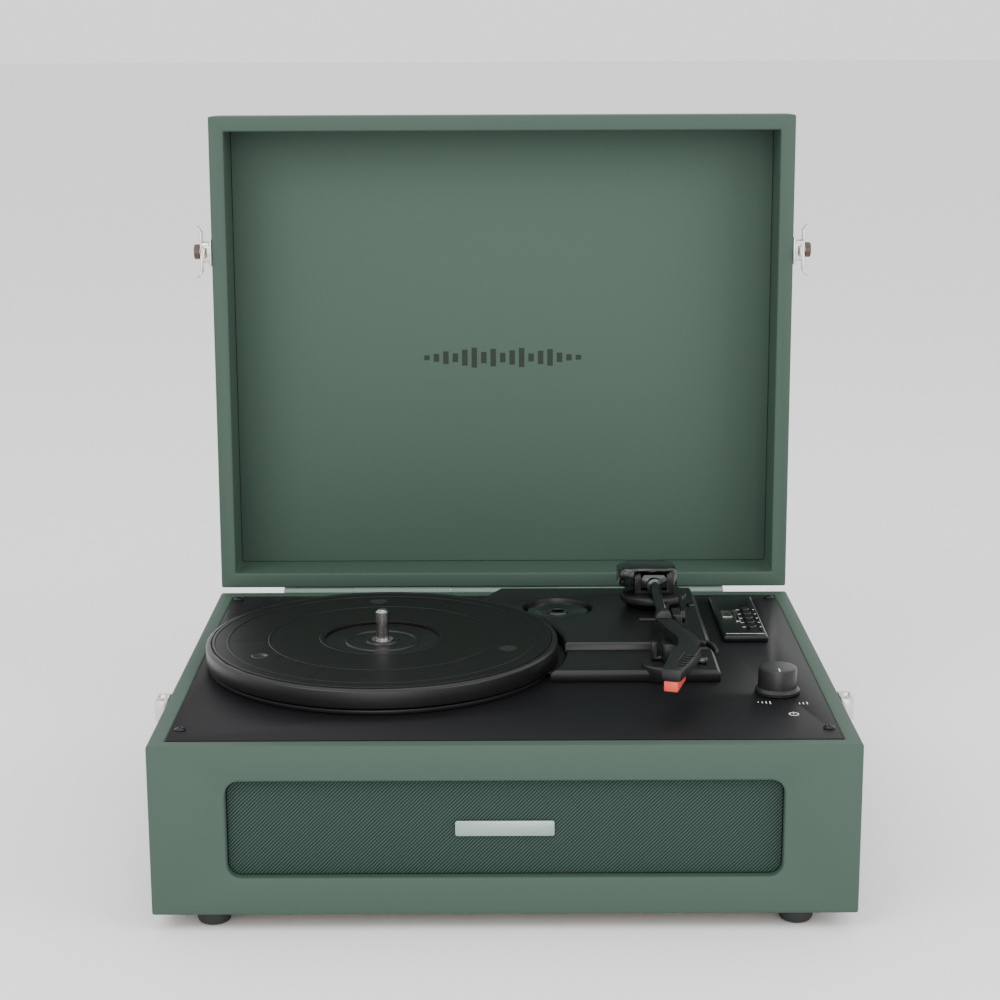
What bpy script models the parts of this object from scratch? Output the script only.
"""Portable suitcase record player: wrapped wooden case with an open lid, belt-driven platter,
pivoting tonearm, front speakers, media panel and side latches.

Sizes are in metres. X runs to the player's right, Y from the front to the back and Z up. Every piece
is drawn in case coordinates, with the front face at y = 0 and the floor at z = 0, under one empty
that puts the origin on the floor in the middle of the whole object's box.
"""

import math

import bmesh
import bpy
from mathutils import Vector

MM = 0.001
GAP = 0.3 * MM              # between pieces that touch or run on each other

# ---------------------------------------------------------------- driving dimensions: case and lid
CASE_W = 350 * MM
CASE_D = 288 * MM
CASE_H = 88 * MM
WALL = 8.5 * MM
FOOT_H = 8.5 * MM
FOOT_R = 8.8 * MM
FOOT_INSET_X = 29 * MM      # foot centre from the side face
FOOT_INSET_Y = 15 * MM      # foot centre from the front or back face
BOTTOM_T = 4 * MM
DECK_T = 3 * MM
LEDGE_W = 10 * MM
LEDGE_H = 8 * MM
LID_H = 38 * MM
LID_WALL = 9 * MM
LID_BOARD = 3.5 * MM
LINING_T = 1.2 * MM
LID_SEAM = 0.6 * MM         # between the closed lid and the case
LID_OPEN = 91.2             # degrees from closed to the stop

# hinge, latches, grille, back
HINGE_W = 272 * MM
HINGE_BACK = 2.5 * MM       # pin centre behind the case's back face
HINGE_DROP = 0.3 * MM       # pin centre below the case's rim
KNUCKLE_R = 2.3 * MM
HINGE_PIN_R = 1.0 * MM
LEAF_T = 1.0 * MM
LEAF_L = 14 * MM
KNUCKLE_ENDS = (33 * MM, 92.6 * MM)   # half-widths where the knuckles change from case to lid
LATCH_Y = 81 * MM           # latch centre behind the front face
LATCH_H = 12.6 * MM
LATCH_PLATE_W = 16 * MM
TONGUE_W = 6 * MM
TONGUE_T = 1.4 * MM
TONGUE_REACH = 6 * MM       # below the lid's rim
WINDOW_W = 274 * MM
WINDOW_H = 50 * MM
WINDOW_UP = 19.6 * MM       # window's lower edge above the case's lower edge
WINDOW_R = 6.6 * MM
GRILLE_INSET = 4.5 * MM
GRILLE_T = 3 * MM
BAFFLE_T = 6 * MM
BAFFLE_W = 300 * MM
SPEAKER_X = 85 * MM
SPEAKER_R = 31 * MM
BADGE_W = 49 * MM
BADGE_H = 8 * MM
REAR_X = 96 * MM            # centre of the socket plate
REAR_W = 78 * MM
REAR_H = 34 * MM

# ---------------------------------------------------------------- driving dimensions: turntable
PLATTER_X = -66.9 * MM
PLATTER_Y = 143 * MM
PLATTER_R = 96.6 * MM
PLATTER_TOP = 13.6 * MM     # heights in this block are above the deck
MAT_TOP = 14.0 * MM
MAT_T = 1.5 * MM
MAT_HOLE_R = 31.5 * MM
RIM_BOTTOM = 3.0 * MM
DRIVE_RING_R = PLATTER_R - 41.6 * MM
PULLEY_R = 6 * MM
PULLEY_REACH = PLATTER_R - 24.6 * MM   # pulley axis from the spindle, clear of the platter's rim
PULLEY_ANGLE = math.radians(135)
BELT_T = 0.8 * MM
BELT_W = 4 * MM
MOTOR_R = 17.5 * MM
MOTOR_H = 24 * MM
SPINDLE_R = 3.55 * MM
SPINDLE_TOP = 29.5 * MM
TRAY_R = PLATTER_R - 1.1 * MM   # round floor of the chassis under the platter
TRAY_TOP = 2.3 * MM
SHELF_FRONT = 102 * MM
SHELF_BACK = 262 * MM
SHELF_RIGHT = 115.5 * MM
SHELF_TOP = 6 * MM
STEP_FRONT = 142 * MM
STEP_TOP = 10 * MM
PLATTER_GAP = 3.9 * MM      # between the platter and the chassis shelf
ADAPTER_X = 31.5 * MM
ADAPTER_Y = 215 * MM
ADAPTER_R = 19 * MM
ADAPTER_TOP = 8.6 * MM
WELL_FLOOR = 3.2 * MM
ARM_X = 87.5 * MM           # tonearm's upright axis
ARM_Y = 222 * MM
ARM_H = 26 * MM             # tonearm's level axis
TUBE_H = 24.5 * MM
TUBE_R = 2.8 * MM
TUBE_END_Y = 141 * MM
TURRET_R = 19.5 * MM
TURRET_TOP = 18.3 * MM
YOKE_IN = 7.6 * MM          # half the space between the yoke's cheeks
CHEEK_T = 3.6 * MM
HEAD_ANGLE = math.radians(16)
HEAD_X = 83.6 * MM          # middle of the head's front edge
HEAD_Y = 37.5 * MM
HEAD_L = 38.5 * MM
HEAD_W = 9.5 * MM           # across the head's front edge
HEAD_REAR_W = 14.5 * MM
NECK_TOP = 25 * MM
COLLAR_R = 4.4 * MM         # rings round the tube's two ends
HEAD_TOP = 26.3 * MM
HEAD_BOTTOM = 20.6 * MM
STYLUS_W = 7 * MM
STYLUS_L = 21 * MM
STYLUS_BOTTOM = 15.2 * MM
TIP_DROP = 0.8 * MM
NECK_BOTTOM = 19 * MM
REST_X = 91 * MM
REST_Y = 115 * MM
REST_W = 12.5 * MM
REST_D = 14 * MM
REST_POST_X = (79 * MM, 82.2 * MM)      # slender post on the rest's left
REST_POST_D = 5 * MM
REST_BOSS = (86 * MM, 111 * MM)
REST_BOSS_R = 12.5 * MM
REST_BOSS_TOP = 8.5 * MM
CUE_X = 96.3 * MM
CUE_Y = 162 * MM
CUE_W = 5.4 * MM
CUE_D = 16 * MM
CUE_TOP = 22.3 * MM
CUE_TRAVEL = 3 * MM
SPEED_X = 107 * MM
SPEED_Y = 117 * MM
SPEED_TRAVEL = 10 * MM

# ---------------------------------------------------------------- driving dimensions: controls
KNOB_X = 143.2 * MM
KNOB_Y = 83.5 * MM
KNOB_R = 10 * MM
KNOB_SKIRT_R = 11.75 * MM
KNOB_TOP = 14 * MM
POT_SHAFT_R = 3 * MM
PANEL_X0 = 124.5 * MM
PANEL_X1 = 150.2 * MM
PANEL_Y0 = 176 * MM
PANEL_Y1 = 264 * MM
PANEL_TOP = 3.6 * MM
BUTTON_X = 142.8 * MM
BUTTON_Y0 = 195 * MM
BUTTON_PITCH = 9.2 * MM
BUTTON_COUNT = 5
BUTTON_R = 2.6 * MM
BUTTON_TRAVEL = 0.8 * MM
USB_X = 131 * MM
USB_Y = 223 * MM
USB_W = 5.8 * MM
USB_L = 13.4 * MM
CARD_X = 136.4 * MM
CARD_Y = 219 * MM
CARD_W = 2.6 * MM
CARD_L = 24 * MM

# ---------------------------------------------------------------- derived sizes
DECK_Z = FOOT_H + CASE_H
IN_X = CASE_W / 2 - WALL
LEDGE_TOP = DECK_Z - DECK_T - GAP
HINGE_Y = CASE_D + HINGE_BACK
HINGE_Z = DECK_Z - HINGE_DROP
LID_Z0 = DECK_Z + LID_SEAM
LID_Z1 = LID_Z0 + LID_H
WINDOW_Z = FOOT_H + WINDOW_UP + WINDOW_H / 2
BAFFLE_Y = WALL + GAP
BAFFLE_Z0 = FOOT_H + BOTTOM_T + GAP
BAFFLE_Z1 = LEDGE_TOP - LEDGE_H - GAP
PULLEY_X = PLATTER_X + PULLEY_REACH * math.cos(PULLEY_ANGLE)
PULLEY_Y = PLATTER_Y + PULLEY_REACH * math.sin(PULLEY_ANGLE)
SEAT_TOP = MAT_TOP - MAT_T - GAP           # face of the platter that the mat lies on
SHELF_R = PLATTER_R + PLATTER_GAP          # edge of the chassis shelf round the platter
REAR_Z = FOOT_H + CASE_H / 2


def far_side_y():
    """Y of the open lid's furthest corner, which sets the middle of the object's box."""
    lean = math.radians(LID_OPEN)
    corners = [(y, z) for y in (0, CASE_D) for z in (LID_Z0, LID_Z1)]
    return max(HINGE_Y + (y - HINGE_Y) * math.cos(lean) + (z - HINGE_Z) * math.sin(lean)
               for y, z in corners)


ORIGIN_Y = far_side_y() / 2

# ---------------------------------------------------------------- scene, materials and mesh tools
for old in list(bpy.data.objects):
    bpy.data.objects.remove(old, do_unlink=True)


def empty(name, location, parent=None, tilt=0.0):
    """An axis that pieces hang from."""
    axis = bpy.data.objects.new(name, None)
    axis.location = location
    axis.rotation_euler = (tilt, 0, 0)
    axis.parent = parent
    bpy.context.scene.collection.objects.link(axis)
    return axis


CASE = empty("case_frame", (0, -ORIGIN_Y, 0))
LID = empty("lid_axis", (0, HINGE_Y, HINGE_Z), CASE, -math.radians(LID_OPEN))
HINGE_POINT = Vector((0, HINGE_Y, HINGE_Z))


def material(name, colour, roughness, metallic=0.0):
    """A Principled material of one colour."""
    made = bpy.data.materials.new(name)
    made.use_nodes = True
    shader = made.node_tree.nodes["Principled BSDF"]
    shader.inputs["Base Color"].default_value = (*colour, 1)
    shader.inputs["Roughness"].default_value = roughness
    shader.inputs["Metallic"].default_value = metallic
    made.diffuse_color = (*colour, 1)
    return made


MATERIALS = {
    "green_wrap": material("green_wrap", (0.127, 0.185, 0.147), 0.6),
    "green_lining": material("green_lining", (0.102, 0.149, 0.118), 0.7),
    "green_hinge": material("green_hinge", (0.15, 0.21, 0.17), 0.4, 0.3),
    "green_cloth": material("green_cloth", (0.012, 0.045, 0.032), 0.9),
    "badge_metal": material("badge_metal", (0.45, 0.52, 0.49), 0.3, 1.0),
    "board": material("board", (0.28, 0.2, 0.12), 0.8),
    "black_deck": material("black_deck", (0.015, 0.014, 0.017), 0.45),
    "black_plastic": material("black_plastic", (0.011, 0.011, 0.012), 0.4),
    "black_gloss": material("black_gloss", (0.012, 0.013, 0.013), 0.2),
    "black_mat": material("black_mat", (0.012, 0.012, 0.013), 0.55),
    "rubber": material("rubber", (0.01, 0.01, 0.01), 0.8),
    "steel": material("steel", (0.6, 0.6, 0.6), 0.25, 1.0),
    "nickel": material("nickel", (0.66, 0.65, 0.62), 0.25, 1.0),
    "brass": material("brass", (0.55, 0.4, 0.2), 0.3, 1.0),
    "stylus_red": material("stylus_red", (0.7, 0.05, 0.03), 0.4),
    "circuit": material("circuit", (0.02, 0.12, 0.05), 0.5),
    "cone_paper": material("cone_paper", (0.03, 0.03, 0.03), 0.9),
}


def solid(name, bm, slot, pivot=(0, 0, 0), parent=CASE, smooth=False):
    """Turn a closed bmesh in case coordinates into an object whose origin is the pivot."""
    bmesh.ops.remove_doubles(bm, verts=bm.verts, dist=1e-7)
    bmesh.ops.recalc_face_normals(bm, faces=bm.faces)
    bmesh.ops.translate(bm, verts=bm.verts, vec=-Vector(pivot))
    mesh = bpy.data.meshes.new(name)
    bm.to_mesh(mesh)
    bm.free()
    if smooth:
        mesh.shade_smooth()
        mesh.set_sharp_from_angle(angle=math.radians(35))
    made = bpy.data.objects.new(name, mesh)
    made.parent = parent
    made.location = Vector(pivot) - (HINGE_POINT if parent is LID else Vector())
    if slot:
        mesh.materials.append(MATERIALS[slot])
    bpy.context.scene.collection.objects.link(made)
    return made


def boolean(target, bm, operation="DIFFERENCE"):
    """Cut a closed bmesh in case coordinates from a piece, or join it on."""
    index = len(target.modifiers) + 1
    tool = solid(f"tool_{target.name}_{index}", bm, None, parent=target.parent)
    tool.hide_render = True
    tool.display_type = "WIRE"
    cut = target.modifiers.new(f"{operation.lower()}_{index}", "BOOLEAN")
    cut.operation = operation
    cut.solver = "EXACT"
    cut.object = tool
    return target


def box(x, y, z):
    """A box from three (low, high) pairs."""
    bm = bmesh.new()
    bmesh.ops.create_cube(bm, size=1)
    for vert in bm.verts:
        vert.co = Vector(pair[0] if side < 0 else pair[1] for side, pair in zip(vert.co, (x, y, z)))
    return bm


def about(centre, size):
    """The (low, high) pair of a size centred on a place."""
    return (centre - size / 2, centre + size / 2)


def prism(outline, low, high, axis="Z"):
    """A flat outline pulled along an axis: (x, y) points along Z, (x, z) along Y or (y, z) along X."""
    place = {"Z": lambda a, b: (a, b, low), "Y": lambda a, b: (a, low, b), "X": lambda a, b: (low, a, b)}
    shift = {"Z": (0, 0, high - low), "Y": (0, high - low, 0), "X": (high - low, 0, 0)}
    bm = bmesh.new()
    face = bm.faces.new([bm.verts.new(place[axis](a, b)) for a, b in outline])
    pulled = bmesh.ops.extrude_face_region(bm, geom=[face])["geom"]
    moved = [item for item in pulled if isinstance(item, bmesh.types.BMVert)]
    bmesh.ops.translate(bm, verts=moved, vec=shift[axis])
    return bm


def bevel_top(bm, height, width):
    """Chamfer the edges that lie at one height."""
    edges = [edge for edge in bm.edges if all(abs(vert.co.z - height) < 1e-6 for vert in edge.verts)]
    bmesh.ops.bevel(bm, geom=edges, offset=width, segments=1, profile=0.5, affect="EDGES")
    return bm


def turned(profile, centre, axis="Z", steps=48, closed=False):
    """A turned solid from (radius, height) points, about a line through the centre."""
    bm = bmesh.new()
    verts = [bm.verts.new((radius, 0, height)) for radius, height in profile]
    pairs = list(zip(verts, verts[1:]))
    if closed:
        pairs.append((verts[-1], verts[0]))
    edges = [bm.edges.new(pair) for pair in pairs]
    bmesh.ops.spin(bm, geom=verts + edges, cent=(0, 0, 0), axis=(0, 0, 1), angle=math.tau,
                   steps=steps, use_merge=True)
    bmesh.ops.remove_doubles(bm, verts=bm.verts, dist=1e-6)
    for vert in bm.verts:
        x, y, z = vert.co
        if axis == "Y":
            vert.co = (x, z, -y)
        elif axis == "X":
            vert.co = (z, x, y)
    bmesh.ops.translate(bm, verts=bm.verts, vec=centre)
    return bm


def rod(radius, low, high, centre, axis="Z", steps=20):
    """A round bar from low to high along its axis."""
    return turned([(0, low), (radius, low), (radius, high), (0, high)], centre, axis, steps)


def arc(centre, radius, start, end, count):
    """Points on an arc, with both ends."""
    turn = (end - start) / (count - 1)
    return [(centre[0] + radius * math.cos(start + turn * i), centre[1] + radius * math.sin(start + turn * i))
            for i in range(count)]


def rounded(a, b, radius, count=5):
    """A rectangle with round corners from two (low, high) pairs."""
    points = []
    corners = ((a[1], b[1], 0), (a[0], b[1], 1), (a[0], b[0], 2), (a[1], b[0], 3))
    for x, y, quarter in corners:
        inside = (x - radius if quarter in (0, 3) else x + radius, y - radius if quarter < 2 else y + radius)
        points += arc(inside, radius, quarter * math.pi / 2, (quarter + 1) * math.pi / 2, count)
    return points


def strap(first, second, first_r, second_r, count=27):
    """The outline of a band stretched round two circles."""
    first, second = Vector(first), Vector(second)
    reach = second - first
    heading = math.atan2(reach.y, reach.x)
    lean = math.acos((first_r - second_r) / reach.length)
    big = arc(first, first_r, heading + lean, heading + math.tau - lean, count)
    small = arc(second, second_r, heading - lean, heading + lean, count // 2)
    return big + small


def ribbon(points, widths):
    """The outline of a path of (x, y) points that has a width at each point."""
    left, right = [], []
    for i, (point, width) in enumerate(zip(points, widths)):
        before = Vector(points[max(i - 1, 0)])
        after = Vector(points[min(i + 1, len(points) - 1)])
        along = (after - before).normalized()
        side = Vector((-along.y, along.x)) * width / 2
        left.append(tuple(Vector(point) + side))
        right.append(tuple(Vector(point) - side))
    return left + right[::-1]


def up(height):
    """A height above the deck as a height above the floor."""
    return DECK_Z + height


def raised(profile):
    """A turned profile given above the deck, as heights above the floor."""
    return [(radius, up(height)) for radius, height in profile]


# ---------------------------------------------------------------- case
def make_case():
    rim = [(0, FOOT_H), (0, DECK_Z), (WALL, DECK_Z), (WALL, LEDGE_TOP), (WALL + LEDGE_W, LEDGE_TOP),
           (WALL + LEDGE_W, LEDGE_TOP - LEDGE_H), (WALL, LEDGE_TOP - LEDGE_H), (WALL, FOOT_H)]
    bm = bmesh.new()
    loops = []
    for sx, sy in ((-1, -1), (1, -1), (1, 1), (-1, 1)):
        loops.append([bm.verts.new((sx * (CASE_W / 2 - inset),
                                    CASE_D / 2 + sy * (CASE_D / 2 - inset), z)) for inset, z in rim])
    for here, there in zip(loops, loops[1:] + loops[:1]):
        for i in range(len(rim)):
            j = (i + 1) % len(rim)
            bm.faces.new((here[i], here[j], there[j], there[i]))
    case = solid("case_shell", bm, "green_wrap")
    window = rounded(about(0, WINDOW_W), about(WINDOW_Z, WINDOW_H), WINDOW_R)
    boolean(case, prism(window, -WALL, 2 * WALL, "Y"))
    hole = rounded(about(REAR_X, REAR_W - 8 * MM), about(REAR_Z, REAR_H - 8 * MM), 2 * MM, 3)
    boolean(case, prism(hole, CASE_D - 2 * WALL, CASE_D + WALL, "Y"))


def make_bottom():
    side = IN_X - GAP
    solid("bottom_panel", box((-side, side), (WALL + GAP, CASE_D - WALL - GAP), (FOOT_H, FOOT_H + BOTTOM_T)),
          "board")
    shape = [(0, 0), (FOOT_R - 2 * MM, 0), (FOOT_R - 0.8 * MM, 0.8 * MM), (FOOT_R, 4 * MM),
             (FOOT_R, FOOT_H - GAP), (0, FOOT_H - GAP)]
    for depth, y in (("front", FOOT_INSET_Y), ("back", CASE_D - FOOT_INSET_Y)):
        for side, sign in (("left", -1), ("right", 1)):
            centre = (sign * (CASE_W / 2 - FOOT_INSET_X), y, 0)
            solid(f"foot_{depth}_{side}", turned(shape, centre, steps=20), "rubber", smooth=True)


def make_speakers():
    baffle = solid("speaker_baffle", box(about(0, BAFFLE_W), (BAFFLE_Y, BAFFLE_Y + BAFFLE_T),
                                         (BAFFLE_Z0, BAFFLE_Z1)), "board")
    back = BAFFLE_Y + BAFFLE_T + GAP
    cone_r = SPEAKER_R - 5 * MM
    shape = [(0, 9 * MM), (8 * MM, 11 * MM), (cone_r - 2 * MM, 2.5 * MM), (cone_r, 2 * MM), (cone_r, 0),
             (SPEAKER_R, 0), (SPEAKER_R, 2.5 * MM), (SPEAKER_R - 3 * MM, 3 * MM), (20 * MM, 18 * MM),
             (18.5 * MM, 19 * MM), (18.5 * MM, 31 * MM), (0, 31 * MM)]
    for name, sign in (("speaker_left", -1), ("speaker_right", 1)):
        centre = (sign * SPEAKER_X, back, WINDOW_Z)
        boolean(baffle, rod(cone_r, -2 * BAFFLE_T, BAFFLE_T, centre, "Y", 48))
        solid(name, turned(shape, centre, "Y", 28), "cone_paper", smooth=True)


def make_grille():
    outline = rounded(about(0, WINDOW_W - 2 * GAP), about(WINDOW_Z, WINDOW_H - 2 * GAP), WINDOW_R - GAP)
    solid("grille_cloth", prism(outline, GRILLE_INSET, GRILLE_INSET + GRILLE_T, "Y"), "green_cloth")
    plate = rounded(about(0, BADGE_W), about(WINDOW_Z - 0.6 * MM, BADGE_H), 1 * MM, 3)
    solid("grille_badge", prism(plate, GRILLE_INSET - GAP - 1 * MM, GRILLE_INSET - GAP, "Y"), "badge_metal")


def make_back():
    thick = 2 * MM
    face = CASE_D + GAP
    outline = rounded(about(REAR_X, REAR_W), about(REAR_Z, REAR_H), 3 * MM, 4)
    plate = solid("rear_panel", prism(outline, face, face + thick, "Y"), "black_plastic")
    dc = (REAR_X + 24 * MM, 0, REAR_Z)
    aux = (REAR_X + 6 * MM, 0, REAR_Z)
    jacks = [(REAR_X - 26 * MM, 0, REAR_Z), (REAR_X - 12 * MM, 0, REAR_Z)]
    for radius, centre in ((5.5 * MM, dc), (3.9 * MM, aux), (4.6 * MM, jacks[0]), (4.6 * MM, jacks[1])):
        boolean(plate, rod(radius + GAP, face - thick, face + 2 * thick, centre, "Y"))
    inner = face - GAP
    socket = [(0, inner - 10 * MM), (5.5 * MM, inner - 10 * MM), (5.5 * MM, face + thick),
              (2.9 * MM, face + thick), (2.9 * MM, inner - 7 * MM), (1 * MM, inner - 7 * MM),
              (1 * MM, face + thick - 1 * MM), (0, face + thick - 1 * MM)]
    solid("dc_inlet", turned(socket, dc, "Y", 24), "black_plastic", smooth=True)
    stereo = [(0, inner - 10 * MM), (3.9 * MM, inner - 10 * MM), (3.9 * MM, face + thick + 1 * MM),
              (1.8 * MM, face + thick + 1 * MM), (1.8 * MM, inner - 8 * MM), (0, inner - 8 * MM)]
    solid("aux_jack", turned(stereo, aux, "Y", 24), "steel", smooth=True)
    block = box((jacks[0][0] - 6 * MM, jacks[1][0] + 6 * MM), (inner - 12 * MM, inner - 2 * MM),
                about(REAR_Z, 12 * MM))
    twin = solid("rca_jacks", block, "steel")
    barrel = [(0, inner - 6 * MM), (4.6 * MM, inner - 6 * MM), (4.6 * MM, face + thick + 1 * MM),
              (4.1 * MM, face + thick + 1.5 * MM), (4.1 * MM, face + thick + 8 * MM),
              (1.6 * MM, face + thick + 8 * MM), (1.6 * MM, face + 1 * MM), (0, face + 1 * MM)]
    for centre in jacks:
        boolean(twin, turned(barrel, centre, "Y", 24), "UNION")


def make_deck():
    side = IN_X - GAP
    deck = solid("deck_plate", box((-side, side), (WALL + GAP, CASE_D - WALL - GAP),
                                   (DECK_Z - DECK_T, DECK_Z)),
                 "black_deck")
    boolean(deck, rod(TRAY_R - 5 * MM, up(-2 * DECK_T), up(DECK_T), (PLATTER_X, PLATTER_Y, 0), steps=56))
    boolean(deck, rod(POT_SHAFT_R + 0.8 * MM, up(-2 * DECK_T), up(DECK_T), (KNOB_X, KNOB_Y, 0)))
    margin = 2.5 * MM
    boolean(deck, box((PANEL_X0 + margin, PANEL_X1 - margin), (PANEL_Y0 + margin, PANEL_Y1 - margin),
                      (up(-2 * DECK_T), up(DECK_T))))


# ---------------------------------------------------------------- lid, hinge and latches
def make_lid():
    half = CASE_W / 2
    lid = solid("lid_shell", box((-half, half), (0, CASE_D), (LID_Z0, LID_Z1)), "green_wrap",
                (0, HINGE_Y, HINGE_Z), LID)
    boolean(lid, box((LID_WALL - half, half - LID_WALL), (LID_WALL, CASE_D - LID_WALL),
                     (LID_Z0 - LID_WALL, LID_Z1 - LID_BOARD)))
    side = half - LID_WALL - GAP
    top = LID_Z1 - LID_BOARD - GAP
    solid("lid_lining", box((-side, side), (LID_WALL + GAP, CASE_D - LID_WALL - GAP), (top - LINING_T, top)),
          "green_lining", (0, HINGE_Y, HINGE_Z), LID)


def make_hinge():
    half = HINGE_W / 2
    near, far = KNUCKLE_ENDS
    play = GAP / 2
    lid_spans = [(-far + play, -near - play), (near + play, far - play)]
    case_spans = [(-half, -far - play), (-near + play, near - play), (far + play, half)]
    centre = (0, HINGE_Y, HINGE_Z)
    leaf_y = (CASE_D + GAP, CASE_D + GAP + LEAF_T)
    reach = 1.1 * MM             # the leaf starts this far from the pin's level
    base = solid("hinge_base_leaf", box((-half, half), leaf_y, (HINGE_Z - LEAF_L, HINGE_Z - reach)),
                 "green_hinge", centre)
    top = solid("hinge_lid_leaf", box((-half, half), leaf_y, (HINGE_Z + reach, HINGE_Z + LEAF_L)),
                "green_hinge", centre, LID)
    for leaf, spans, others in ((base, case_spans, lid_spans), (top, lid_spans, case_spans)):
        for low, high in others:
            cut = box((low - GAP, high + GAP), (CASE_D - WALL, CASE_D + 3 * HINGE_BACK),
                      about(HINGE_Z, 2 * (KNUCKLE_R + GAP)))
            boolean(leaf, cut)
        for low, high in spans:
            boolean(leaf, rod(KNUCKLE_R, low, high, centre, "X", 24), "UNION")
        boolean(leaf, rod(HINGE_PIN_R + GAP, -HINGE_W, HINGE_W, centre, "X", 16))
    solid("hinge_pin", rod(HINGE_PIN_R, -half, half, centre, "X", 16), "steel", centre, smooth=True)


def make_latches():
    rim = LID_Z0
    for name, sign in (("left", -1), ("right", 1)):
        wall = sign * CASE_W / 2

        def out(distance):
            """X at a distance out from the side face."""
            return wall + sign * distance

        def span(near, far):
            return tuple(sorted((out(near), out(far))))

        hub_z = rim + LATCH_H
        plate = solid(f"latch_plate_{name}", box(span(GAP, 1.5 * MM), about(LATCH_Y, LATCH_PLATE_W),
                                                 (rim + 1 * MM, rim + 25 * MM)),
                      "nickel", (wall, LATCH_Y, hub_z), LID)
        housing = prism(rounded(about(LATCH_Y, LATCH_H), about(hub_z, LATCH_H), 2 * MM, 4),
                        out(1.2 * MM), out(6.6 * MM), "X")
        boolean(plate, housing, "UNION")
        tongue = box(span(3.4 * MM, 3.4 * MM + TONGUE_T), about(LATCH_Y, TONGUE_W),
                     (rim - TONGUE_REACH, hub_z))
        boolean(plate, tongue, "UNION")
        boolean(plate, rod(2.3 * MM, out(4.6 * MM) if sign > 0 else out(9 * MM),
                           out(9 * MM) if sign > 0 else out(4.6 * MM), (0, LATCH_Y, hub_z), "X"))
        shaft = span(4.9 * MM, 11.8 * MM)
        key = solid(f"latch_key_{name}", rod(2 * MM, shaft[0], shaft[1], (0, LATCH_Y, hub_z), "X"),
                    "nickel", (wall, LATCH_Y, hub_z), LID)
        wings = ribbon([(LATCH_Y - 12.5 * MM, hub_z), (LATCH_Y - 6 * MM, hub_z), (LATCH_Y, hub_z),
                        (LATCH_Y + 6 * MM, hub_z), (LATCH_Y + 12.5 * MM, hub_z)],
                       [7 * MM, 6 * MM, 4.5 * MM, 6 * MM, 7 * MM])
        boolean(key, prism(wings, out(7 * MM), out(8.2 * MM), "X"), "UNION")
        knob = span(8 * MM, 11.6 * MM)
        boolean(key, rod(3.7 * MM, knob[0], knob[1], (0, LATCH_Y, hub_z), "X"), "UNION")

        top = DECK_Z - 1 * MM
        keeper = solid(f"latch_keeper_{name}", box(span(GAP, 7 * MM), about(LATCH_Y, 14 * MM),
                                                   (top - 11 * MM, top)), "nickel")
        boolean(keeper, box(span(2.6 * MM, 5.6 * MM), about(LATCH_Y, TONGUE_W + 3 * MM),
                            (top - 8 * MM, top + 4 * MM)))


# ---------------------------------------------------------------- chassis and drive
def shelf_outline(front, right, back):
    """The chassis shelf: round the platter at its left and straight on its other sides."""
    low = math.asin((front - PLATTER_Y) / SHELF_R)
    high = math.radians(60)
    edge = arc((PLATTER_X, PLATTER_Y), SHELF_R, low, high, 17)
    return edge + [(-2 * MM, back), (right, back), (right, front)]


def make_chassis():
    spindle = (PLATTER_X, PLATTER_Y, 0)
    chassis = solid("chassis", rod(TRAY_R, up(GAP), up(TRAY_TOP), spindle, steps=56), "black_plastic")
    bridge = box((PLATTER_X + TRAY_R / 2, PLATTER_X + SHELF_R + 4 * MM),
                 (PLATTER_Y - 30 * MM, PLATTER_Y + 60 * MM),
                 (up(GAP), up(TRAY_TOP)))
    boolean(chassis, bridge, "UNION")
    shelf = prism(shelf_outline(SHELF_FRONT, SHELF_RIGHT, SHELF_BACK), up(GAP), up(SHELF_TOP))
    boolean(chassis, bevel_top(shelf, up(SHELF_TOP), 1.6 * MM), "UNION")
    step = prism(shelf_outline(STEP_FRONT, SHELF_RIGHT - 2.5 * MM, SHELF_BACK - 2 * MM),
                 up(SHELF_TOP - 2 * MM), up(STEP_TOP))
    boolean(chassis, bevel_top(step, up(STEP_TOP), 1.2 * MM), "UNION")
    boss = rod(REST_BOSS_R, up(GAP), up(REST_BOSS_TOP), (*REST_BOSS, 0), steps=32)
    boolean(chassis, bevel_top(boss, up(REST_BOSS_TOP), 0.8 * MM), "UNION")
    boolean(chassis, rod(9 * MM, up(-18 * MM), up(TRAY_TOP - 1 * MM), spindle), "UNION")
    boolean(chassis, rod(SPINDLE_R + GAP, up(-30 * MM), up(9 * MM), spindle))
    boolean(chassis, rod(4 * MM, up(-9 * MM), up(9 * MM), (PULLEY_X, PULLEY_Y, 0)))
    boolean(chassis, rod(ADAPTER_R + 1.5 * MM, up(WELL_FLOOR), up(2 * STEP_TOP), (ADAPTER_X, ADAPTER_Y, 0),
                         steps=48))
    slot = box(about(SPEED_X, 2.6 * MM), (SPEED_Y - 3.2 * MM, SPEED_Y + SPEED_TRAVEL + 3.2 * MM),
               (up(2 * MM), up(STEP_TOP)))
    boolean(chassis, slot)


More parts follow.
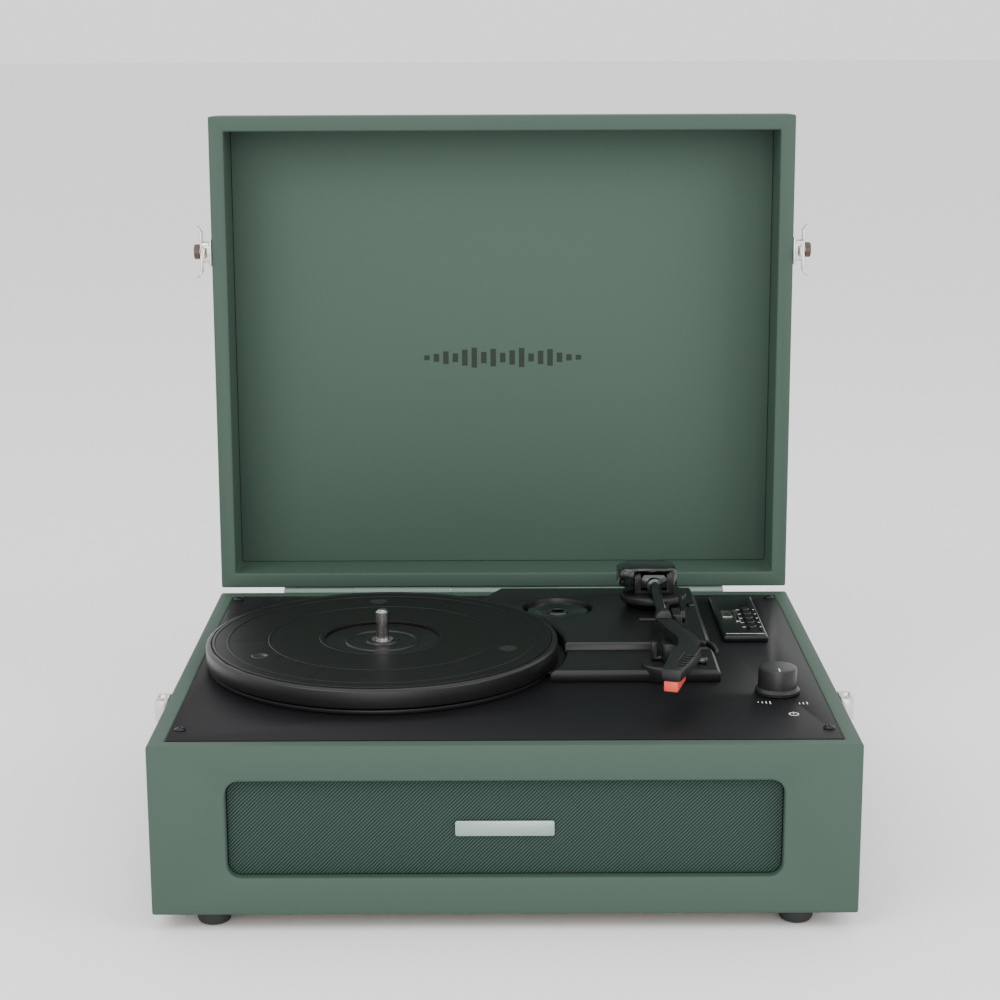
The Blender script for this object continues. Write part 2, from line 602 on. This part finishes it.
def make_drive():
    spindle = (PLATTER_X, PLATTER_Y, 0)
    pulley = (PULLEY_X, PULLEY_Y, 0)
    solid("spindle", turned([(0, up(-20 * MM)), (SPINDLE_R, up(-20 * MM)),
                             (SPINDLE_R, up(SPINDLE_TOP - 1.4 * MM)),
                             (SPINDLE_R - 1.1 * MM, up(SPINDLE_TOP)), (0,
                                                                       up(SPINDLE_TOP))], spindle, steps=24),
          "steel", smooth=True)
    hub_r = 6.4 * MM
    disc = SEAT_TOP - 2.4 * MM
    ring = [(hub_r, 3.2 * MM), (11 * MM, 3.2 * MM), (11 * MM, disc), (DRIVE_RING_R - 2.5 * MM, disc),
            (DRIVE_RING_R - 2.5 * MM, 3.4 * MM), (DRIVE_RING_R, 3.4 * MM), (DRIVE_RING_R, disc),
            (PLATTER_R - 2.7 * MM, disc), (PLATTER_R - 2.7 * MM, RIM_BOTTOM), (PLATTER_R - 0.6 * MM,
                                                                               RIM_BOTTOM),
            (PLATTER_R, RIM_BOTTOM + 0.6 * MM), (PLATTER_R, PLATTER_TOP - 1.2 * MM),
            (PLATTER_R - 1.4 * MM, PLATTER_TOP), (PLATTER_R - 3.2 * MM, PLATTER_TOP),
            (PLATTER_R - 3.2 * MM, SEAT_TOP), (30 * MM, SEAT_TOP), (26 * MM, SEAT_TOP - 1 * MM),
            (20.5 * MM, SEAT_TOP - 1 * MM), (20 * MM, SEAT_TOP - 0.2 * MM), (18.5 * MM, SEAT_TOP - 0.2 * MM),
            (18 * MM, SEAT_TOP - 1 * MM), (9 * MM, SEAT_TOP - 1 * MM), (8.6 * MM, SEAT_TOP), (hub_r,
                                                                                              SEAT_TOP)]
    solid("platter", turned(raised(ring), spindle, steps=56, closed=True), "black_plastic", spindle,
          smooth=True)
    edge = PLATTER_R - 3.2 * MM - GAP
    sheet = [(MAT_HOLE_R, MAT_TOP - MAT_T), (edge, MAT_TOP - MAT_T), (edge, MAT_TOP - 0.4 * MM),
             (edge - 0.7 * MM, MAT_TOP), (MAT_HOLE_R + 0.7 * MM, MAT_TOP), (MAT_HOLE_R, MAT_TOP - 0.5 * MM)]
    solid("platter_mat", turned(raised(sheet), spindle, steps=48, closed=True), "black_mat", spindle,
          smooth=True)
    bush = [(SPINDLE_R + GAP, TRAY_TOP + GAP), (hub_r - GAP, TRAY_TOP + GAP),
            (hub_r - GAP, SEAT_TOP + 0.4 * MM),
            (SPINDLE_R + GAP, SEAT_TOP + 0.4 * MM)]
    solid("platter_bush", turned(raised(bush), spindle, steps=24, closed=True), "steel", spindle, smooth=True)

    shaft_r = 1.2 * MM
    shaft_top = 8 * MM
    can = [(0, -MOTOR_H), (MOTOR_R - 1 * MM, -MOTOR_H), (MOTOR_R, 1 * MM - MOTOR_H), (MOTOR_R, -1 * MM),
           (MOTOR_R - 1 * MM, 0), (shaft_r, 0), (shaft_r, shaft_top), (0, shaft_top)]
    solid("drive_motor", turned(raised(can), pulley, steps=24), "steel", smooth=True)
    belt_low = 4 * MM
    wheel = [(shaft_r + GAP, TRAY_TOP + 0.6 * MM), (PULLEY_R + 1.2 * MM, TRAY_TOP + 0.6 * MM),
             (PULLEY_R + 1.2 * MM, TRAY_TOP + 1.2 * MM), (PULLEY_R, TRAY_TOP + 1.4 * MM),
             (PULLEY_R, 8.6 * MM), (0, 8.6 * MM), (0, shaft_top + GAP), (shaft_r + GAP, shaft_top + GAP)]
    profile = raised(wheel)
    solid("motor_pulley", turned(profile, pulley, steps=24, closed=True), "brass", pulley, smooth=True)
    centres = ((PLATTER_X, PLATTER_Y), (PULLEY_X, PULLEY_Y))
    outer = strap(*centres, DRIVE_RING_R + GAP + BELT_T, PULLEY_R + GAP + BELT_T)
    inner = strap(*centres, DRIVE_RING_R + GAP, PULLEY_R + GAP)
    bm = bmesh.new()
    rings = [[bm.verts.new((x, y, up(z))) for x, y in line]
             for line, z in ((outer, belt_low), (outer, belt_low + BELT_W), (inner, belt_low + BELT_W),
                             (inner, belt_low))]
    for here, there in zip(rings, rings[1:] + rings[:1]):
        for i in range(len(outer)):
            j = (i + 1) % len(outer)
            bm.faces.new((here[i], here[j], there[j], there[i]))
    solid("drive_belt", bm, "rubber")


def make_adapter():
    low = WELL_FLOOR + GAP
    hole = 3.7 * MM
    shape = [(hole, low), (ADAPTER_R, low), (ADAPTER_R, ADAPTER_TOP - 2.4 * MM),
             (ADAPTER_R - 1.6 * MM, ADAPTER_TOP),
             (ADAPTER_R - 7 * MM, ADAPTER_TOP), (ADAPTER_R - 9 * MM, ADAPTER_TOP - 1.4 * MM),
             (6.5 * MM, ADAPTER_TOP - 1.4 * MM), (6 * MM, ADAPTER_TOP - 0.4 * MM), (hole,
                                                                                    ADAPTER_TOP - 0.4 * MM)]
    centre = (ADAPTER_X, ADAPTER_Y, 0)
    solid("adapter_45", turned(raised(shape), centre, steps=32, closed=True), "black_gloss", centre,
          smooth=True)


# ---------------------------------------------------------------- tonearm
def head_point(along, across):
    """A plan place on the head: back from the middle of its front edge, and to its right."""
    back = Vector((math.sin(HEAD_ANGLE), math.cos(HEAD_ANGLE)))
    right = Vector((math.cos(HEAD_ANGLE), -math.sin(HEAD_ANGLE)))
    return tuple(Vector((HEAD_X, HEAD_Y)) + back * along + right * across)


def head_block(along, width, low, high, rear_width=None):
    """A block in line with the head, between two places along it, that may widen to the rear."""
    rear = (rear_width or width) / 2
    outline = [head_point(along[0], -width / 2), head_point(along[0], width / 2),
               head_point(along[1], rear), head_point(along[1], -rear)]
    return prism(outline, up(low), up(high))


def make_turret():
    centre = (ARM_X, ARM_Y, 0)
    floor = STEP_TOP + GAP
    shape = [(0, floor), (TURRET_R - 4 * MM, floor), (TURRET_R, floor + 4 * MM),
             (TURRET_R, TURRET_TOP - 1.2 * MM),
             (TURRET_R - 2 * MM, TURRET_TOP), (4.3 * MM, TURRET_TOP), (4.3 * MM, 12 * MM), (0, 12 * MM)]
    turret = solid("arm_turret", turned(raised(shape), centre, steps=32), "black_plastic", smooth=False)
    post = box((ARM_X + 2 * MM, ARM_X + 7.5 * MM), (ARM_Y - 26 * MM, ARM_Y - TURRET_R + 3 * MM),
               (up(floor), up(TURRET_TOP - 1.6 * MM)))
    boolean(turret, post, "UNION")


def make_yoke():
    pivot = (ARM_X, ARM_Y, up(ARM_H))
    half = YOKE_IN + CHEEK_T
    front, back = ARM_Y - 9 * MM, ARM_Y + 6 * MM
    low = TURRET_TOP + GAP
    yoke = solid("arm_yoke", box((ARM_X - half, ARM_X + half), (front, back), (up(low), up(low + 2 * MM))),
                 "black_plastic", pivot)
    for sign in (-1, 1):
        cheek = tuple(sorted((ARM_X + sign * YOKE_IN, ARM_X + sign * half)))
        outline = [(front, up(low)), (back, up(low)), (back, up(29 * MM)), (back - 3 * MM, up(31.4 * MM)),
                   (front + 4 * MM, up(31.4 * MM)), (front, up(28 * MM))]
        boolean(yoke, prism(outline, cheek[0], cheek[1], "X"), "UNION")
    boolean(yoke, rod(4 * MM, up(12.4 * MM), up(low + 1 * MM), (ARM_X, ARM_Y, 0)), "UNION")
    boolean(yoke, rod(1.8 * MM, ARM_X - 2 * half, ARM_X + 2 * half, (0, ARM_Y, up(ARM_H)), "X"))


def make_hood():
    """Faceted cover that wraps the yoke's left, back, right and top."""
    half = YOKE_IN + CHEEK_T + GAP
    left, right = ARM_X - half - 9.5 * MM, ARM_X + half + 2.2 * MM
    front, back = ARM_Y - 8 * MM, ARM_Y + 17 * MM
    plan = [(left + 1.5 * MM, front + 1 * MM), (ARM_X - half - 2 * MM, front - 2 * MM),
            (ARM_X - half + 3 * MM, front),
            (ARM_X + half - 3 * MM, front), (right, front + 4 * MM), (right, back - 7 * MM),
            (right - 6 * MM, back), (left + 7 * MM, back), (left, back - 8 * MM)]
    low, high = 22.5 * MM, 33 * MM
    hood = solid("arm_hood", bevel_top(prism(plan, up(low), up(high)), up(high), 2 * MM), "black_gloss",
                 (ARM_X, ARM_Y, up(ARM_H)))
    hollow = box((ARM_X - half, ARM_X + half), (front - 9 * MM, back - 2 * MM),
                 (up(low - 5 * MM), up(31.7 * MM)))
    boolean(hood, hollow)


def make_arm():
    pivot = (ARM_X, ARM_Y, up(ARM_H))
    inside = YOKE_IN - GAP
    block = box((ARM_X - inside, ARM_X + inside), (ARM_Y - 9.7 * MM, ARM_Y + 6 * MM),
                (up(22.4 * MM), up(29.6 * MM)))
    bevel_top(block, up(29.6 * MM), 1.6 * MM)
    arm = solid("arm_tube", block, "black_gloss", pivot)
    boolean(arm, rod(1.5 * MM, ARM_X - YOKE_IN - CHEEK_T, ARM_X + YOKE_IN + CHEEK_T, (0, ARM_Y, up(ARM_H)),
                     "X"),
            "UNION")
    boolean(arm, rod(TUBE_R, TUBE_END_Y, ARM_Y, (ARM_X, 0, up(TUBE_H)), "Y"), "UNION")
    collar = rod(COLLAR_R, ARM_Y - 14.5 * MM, ARM_Y - 9.6 * MM, (ARM_X, 0, up(TUBE_H)), "Y")
    boolean(arm, collar, "UNION")
    weight = rod(5.2 * MM, ARM_Y + 7.5 * MM, ARM_Y + 13.5 * MM, (ARM_X, 0, up(ARM_H + 0.5 * MM)), "Y")
    solid("counterweight", weight, "steel", pivot, smooth=True)

    rear = head_point(HEAD_L, 0)
    neck = ribbon([(ARM_X, TUBE_END_Y + 7 * MM), (ARM_X, TUBE_END_Y - 3 * MM), (ARM_X + 4 * MM, 122 * MM),
                   (ARM_X + 9.5 * MM, 104 * MM), (ARM_X + 10 * MM, 92 * MM), rear],
                  [7.6 * MM, 8 * MM, 9 * MM, 10 * MM, 11 * MM, 11 * MM])
    shell = solid("headshell", prism(neck, up(NECK_BOTTOM), up(NECK_TOP)), "black_plastic", pivot)
    head = head_block((0, HEAD_L + 3 * MM), HEAD_W, HEAD_BOTTOM, HEAD_TOP, HEAD_REAR_W)
    boolean(shell, head, "UNION")
    collar = rod(COLLAR_R, TUBE_END_Y - 2 * MM, TUBE_END_Y + 5 * MM, (ARM_X, 0, up(TUBE_H)), "Y")
    boolean(shell, collar, "UNION")
    boolean(shell, rod(TUBE_R + GAP, TUBE_END_Y - GAP, ARM_Y, (ARM_X, 0, up(TUBE_H)), "Y"))
    hook = ribbon([(ARM_X + 12 * MM, 99 * MM), (ARM_X + 20 * MM, 99.5 * MM), (ARM_X + 22.5 * MM, 94 * MM),
                   (ARM_X + 23.5 * MM, 82 * MM)], [4 * MM, 2.4 * MM, 2 * MM, 1.6 * MM])
    boolean(shell, prism(hook, up(20.5 * MM), up(23.5 * MM)), "UNION")
    low, high = STYLUS_BOTTOM, HEAD_BOTTOM - GAP
    solid("cartridge", head_block((STYLUS_L + 1.5 * MM, HEAD_L - 4 * MM), STYLUS_W + 1 * MM, low + 0.8 * MM,
                                  high),
          "black_plastic", pivot)
    start = -0.5 * MM
    stylus = solid("stylus", head_block((start, start + STYLUS_L), STYLUS_W, low, high), "stylus_red", pivot)
    tip = (*head_point(3 * MM, 0), 0)
    needle = turned(raised([(0, low - TIP_DROP), (0.9 * MM, low), (0.9 * MM, low + 1 * MM),
                            (0, low + 1 * MM)]),
                    tip, steps=12)
    boolean(stylus, needle, "UNION")


def make_rest():
    low, high = REST_BOSS_TOP + GAP, NECK_BOTTOM - GAP
    outline = rounded(about(REST_X, REST_W), about(REST_Y, REST_D), 2 * MM, 4)
    rest = solid("arm_rest", prism(outline, up(low), up(high)), "black_plastic")
    depth = about(REST_Y, REST_POST_D)
    boolean(rest, box((REST_POST_X[0], REST_X), depth, (up(low), up(low + 2 * MM))), "UNION")
    boolean(rest, box(REST_POST_X, depth, (up(low), up(high))), "UNION")


def make_cue():
    floor = STEP_TOP + GAP
    outline = rounded(about(CUE_X, CUE_W), about(CUE_Y, CUE_D), 1 * MM, 3)
    block = solid("cue_block", bevel_top(prism(outline, up(floor), up(CUE_TOP)), up(CUE_TOP), 0.6 * MM),
                  "black_plastic")
    axle = (0, CUE_Y + 5 * MM, up(18 * MM))
    right = CUE_X + CUE_W / 2
    boolean(block, rod(1.6 * MM + GAP, CUE_X, right + 5 * MM, axle, "X"))
    lever = solid("cue_lever", rod(3.6 * MM, right + GAP, right + 2.6 * MM, axle, "X"), "black_plastic", axle)
    boolean(lever, rod(1.6 * MM, CUE_X + GAP, right + 1 * MM, axle, "X"), "UNION")
    fin = [(axle[1], axle[2] - 3 * MM), (axle[1] + 19 * MM, axle[2] + 2 * MM),
           (axle[1] + 22 * MM, axle[2] + 7 * MM),
           (axle[1] + 18 * MM, axle[2] + 6.2 * MM), (axle[1], axle[2] + 3 * MM)]
    boolean(lever, prism(fin, right + 0.6 * MM, right + 2.3 * MM, "X"), "UNION")
    left = CUE_X - CUE_W / 2
    rise = (0, CUE_Y, up(TUBE_H - TUBE_R - GAP - CUE_TRAVEL))
    lift = solid("cue_platform", box((left - 1.6 * MM, left - GAP), about(CUE_Y, 8 * MM),
                                     (up(floor + GAP), rise[2])), "black_plastic", rise)
    bar = box((ARM_X - 12 * MM, left - 1 * MM), about(CUE_Y, 3 * MM), (rise[2] - 1.6 * MM, rise[2]))
    boolean(lift, bar, "UNION")


def make_selector():
    place = (SPEED_X, SPEED_Y, up(SHELF_TOP))
    knob = box(about(SPEED_X, 5 * MM), about(SPEED_Y, 5.4 * MM),
               (up(SHELF_TOP + GAP), up(SHELF_TOP + 3.3 * MM)))
    selector = solid("speed_selector", bevel_top(knob, up(SHELF_TOP + 3.3 * MM), 0.6 * MM), "black_gloss",
                     place)
    stem = box(about(SPEED_X, 2 * MM), about(SPEED_Y, 4 * MM), (up(2 * MM + GAP), up(SHELF_TOP + 1 * MM)))
    boolean(selector, stem, "UNION")


# ---------------------------------------------------------------- controls and electronics
def make_volume():
    centre = (KNOB_X, KNOB_Y, 0)
    bore = POT_SHAFT_R + GAP
    shape = [(bore, 0.5 * MM), (KNOB_SKIRT_R, 0.5 * MM), (KNOB_SKIRT_R, 2.2 * MM),
             (KNOB_R + 0.7 * MM, 3 * MM),
             (KNOB_R, KNOB_TOP - 0.8 * MM), (KNOB_R - 0.8 * MM, KNOB_TOP), (0, KNOB_TOP), (0, 9 * MM), (bore,
                                                                                                        9 * MM)]
    solid("volume_knob", turned(raised(shape), centre, steps=32, closed=True), "black_plastic", centre,
          smooth=True)
    low = -DECK_T - GAP
    pot = [(0, low - 9 * MM), (8.5 * MM, low - 9 * MM), (8.5 * MM, low), (POT_SHAFT_R, low),
           (POT_SHAFT_R, 9 * MM - GAP), (0, 9 * MM - GAP)]
    solid("volume_pot", turned(raised(pot), centre, steps=24), "steel", smooth=True)


def button_places():
    return [BUTTON_Y0 + BUTTON_PITCH * i for i in range(BUTTON_COUNT)]


def make_panel():
    outline = rounded((PANEL_X0, PANEL_X1), (PANEL_Y0, PANEL_Y1), 1.5 * MM, 3)
    plate = prism(outline, up(GAP), up(PANEL_TOP))
    panel = solid("control_panel", bevel_top(plate, up(PANEL_TOP), 1.2 * MM), "black_gloss")
    deep = (up(-2 * MM), up(2 * PANEL_TOP))
    boolean(panel, box(about(USB_X, USB_W), about(USB_Y, USB_L), deep))
    boolean(panel, box(about(CARD_X, CARD_W), about(CARD_Y, CARD_L), deep))
    flange_low = -1.6 * MM
    for i, y in enumerate(button_places()):
        centre = (BUTTON_X, y, 0)
        boolean(panel, rod(BUTTON_R + GAP, deep[0], deep[1], centre))
        shape = [(0, flange_low), (BUTTON_R + 0.9 * MM, flange_low), (BUTTON_R + 0.9 * MM, 0), (BUTTON_R, 0),
                 (BUTTON_R, PANEL_TOP + 0.7 * MM), (BUTTON_R - 0.4 * MM, PANEL_TOP + 1.1 * MM),
                 (0, PANEL_TOP + 1.1 * MM)]
        solid(f"button_{i + 1}", turned(raised(shape), centre, steps=16), "black_gloss",
              (BUTTON_X, y, up(PANEL_TOP)), smooth=True)

    board_top = -9 * MM
    margin = 3.5 * MM
    board = solid("media_board", box((PANEL_X0 + margin, PANEL_X1 - margin),
                                     (PANEL_Y0 + margin, PANEL_Y1 - margin),
                                     (up(board_top - 1.6 * MM), up(board_top))), "circuit")
    for y in button_places():
        boolean(board, box(about(BUTTON_X, 5 * MM), about(y, 5 * MM),
                           (up(board_top - 0.5 * MM), up(flange_low - BUTTON_TRAVEL - GAP))), "UNION")
    for x, y, wide, long in ((USB_X, USB_Y, USB_W, USB_L), (CARD_X, CARD_Y, CARD_W, CARD_L)):
        boolean(board, box(about(x, wide), about(y, long + 1 * MM), (up(board_top - 0.5 * MM), up(0))),
                "UNION")
        boolean(board, box(about(x, wide - 1.2 * MM), about(y, long - 1.2 * MM),
                           (up(board_top + 1.5 * MM), up(1 * MM))))
    tongue = (USB_X - 1.6 * MM, USB_X + 0.4 * MM)
    boolean(board, box(tongue, about(USB_Y, USB_L - 2.8 * MM), (up(board_top), up(-0.6 * MM))), "UNION")


def make_amplifier():
    low = FOOT_H + BOTTOM_T + GAP
    top = low + 8 * MM
    x, y = about(70 * MM, 110 * MM), about(195 * MM, 70 * MM)
    board = solid("main_board", box(x, y, (top, top + 1.6 * MM)), "circuit")
    for px in (x[0] + 6 * MM, x[1] - 6 * MM):
        for py in (y[0] + 6 * MM, y[1] - 6 * MM):
            boolean(board, rod(3 * MM, low, top + 1 * MM, (px, py, 0), steps=12), "UNION")
    for cx, cy, radius, tall in ((45, 180, 5, 14), (60, 180, 5, 14), (100, 205, 4, 10)):
        boolean(board, rod(radius * MM, top + 1 * MM, top + tall * MM, (cx * MM, cy * MM, 0), steps=16),
                "UNION")
    boolean(board, box(about(80 * MM, 26 * MM), about(215 * MM, 8 * MM), (top + 1 * MM, top + 22 * MM)),
            "UNION")


make_case()
make_bottom()
make_speakers()
make_grille()
make_back()
make_deck()
make_lid()
make_hinge()
make_latches()
make_chassis()
make_drive()
make_adapter()
make_turret()
make_yoke()
make_hood()
make_arm()
make_rest()
make_cue()
make_selector()
make_volume()
make_panel()
make_amplifier()
